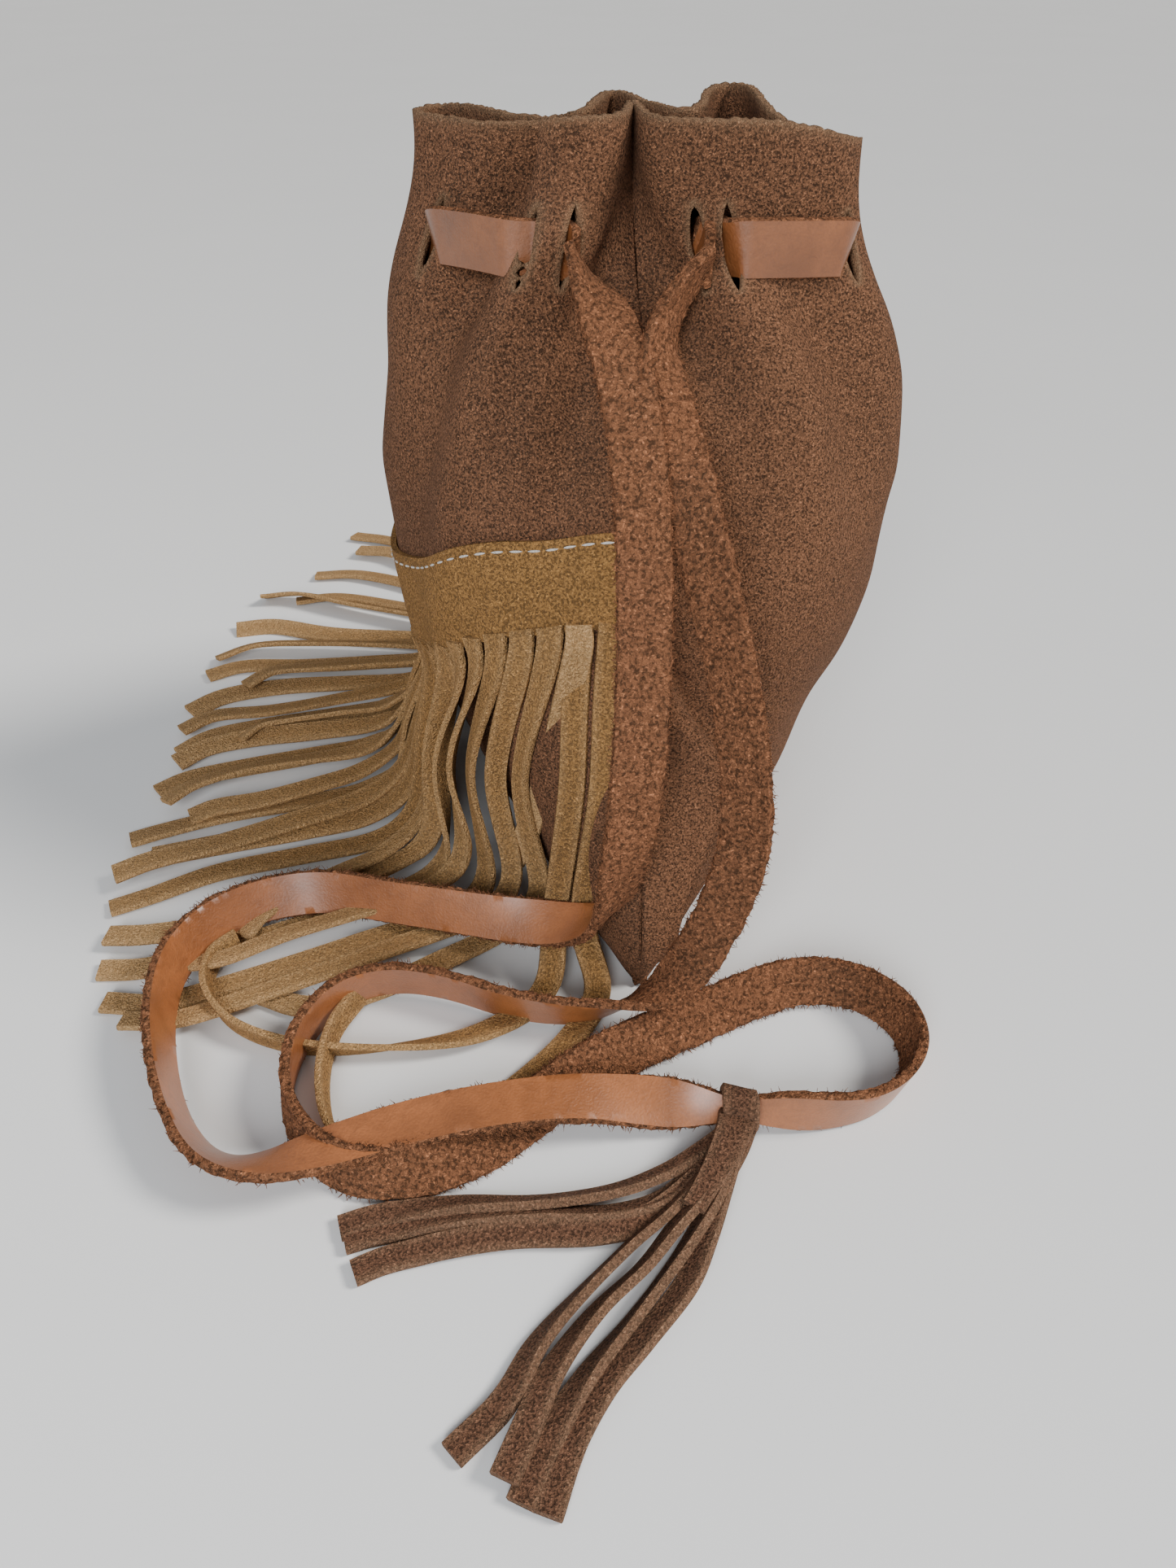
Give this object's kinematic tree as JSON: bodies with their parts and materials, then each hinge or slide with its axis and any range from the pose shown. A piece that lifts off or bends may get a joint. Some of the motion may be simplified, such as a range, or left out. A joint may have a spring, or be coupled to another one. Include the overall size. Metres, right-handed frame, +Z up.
{
  "type": "drawstring pouch",
  "caption": "Soft suede drawstring pouch standing open at the neck, with a fringed panel, a woven flat lace and a sliding fringed tassel",
  "frame": {"origin": "middle of the pouch's resting face", "axes": "+Z up, fringe faces -X, plain back faces +X, side seams face -Y and +Y"},
  "size_m": [0.1804, 0.3228, 0.153],
  "materials": {
    "body_suede": "napped suede",
    "fringe_suede": "napped suede",
    "thread": "twisted thread",
    "seam_thread": "twisted thread",
    "lace_leather": "smooth grain one side, rough flesh the other",
    "tassel_suede": "napped suede"
  },
  "bodies": {
    "pouch": {"front_panel": "body_suede", "back_panel": "body_suede", "fringe_panel": "fringe_suede", "top_stitching": "thread", "seam_threads": "seam_thread", "woven_lace": "lace_leather", "lace_loop": "lace_leather"},
    "tassel": {"tassel_head": "tassel_suede"},
    "front_strands": {"tassel_front_strands": "tassel_suede"},
    "left_strands": {"tassel_left_strands": "tassel_suede"}
  },
  "joints": [
    {"name": "tassel_slide", "type": "slide", "parent": "pouch", "child": "tassel", "axis": [0.9975, -0.0712, 0], "range_m": [-0.006, 0.01]},
    {"name": "front_swing", "type": "hinge", "parent": "tassel", "child": "front_strands", "pos_m": [0.0155, -0.125, 0], "axis": [0, 0, 1], "range_deg": [0, 40]},
    {"name": "left_swing", "type": "hinge", "parent": "tassel", "child": "left_strands", "pos_m": [0.0155, -0.125, 0], "axis": [0, 0, 1], "range_deg": [0, 12]}
  ]
}
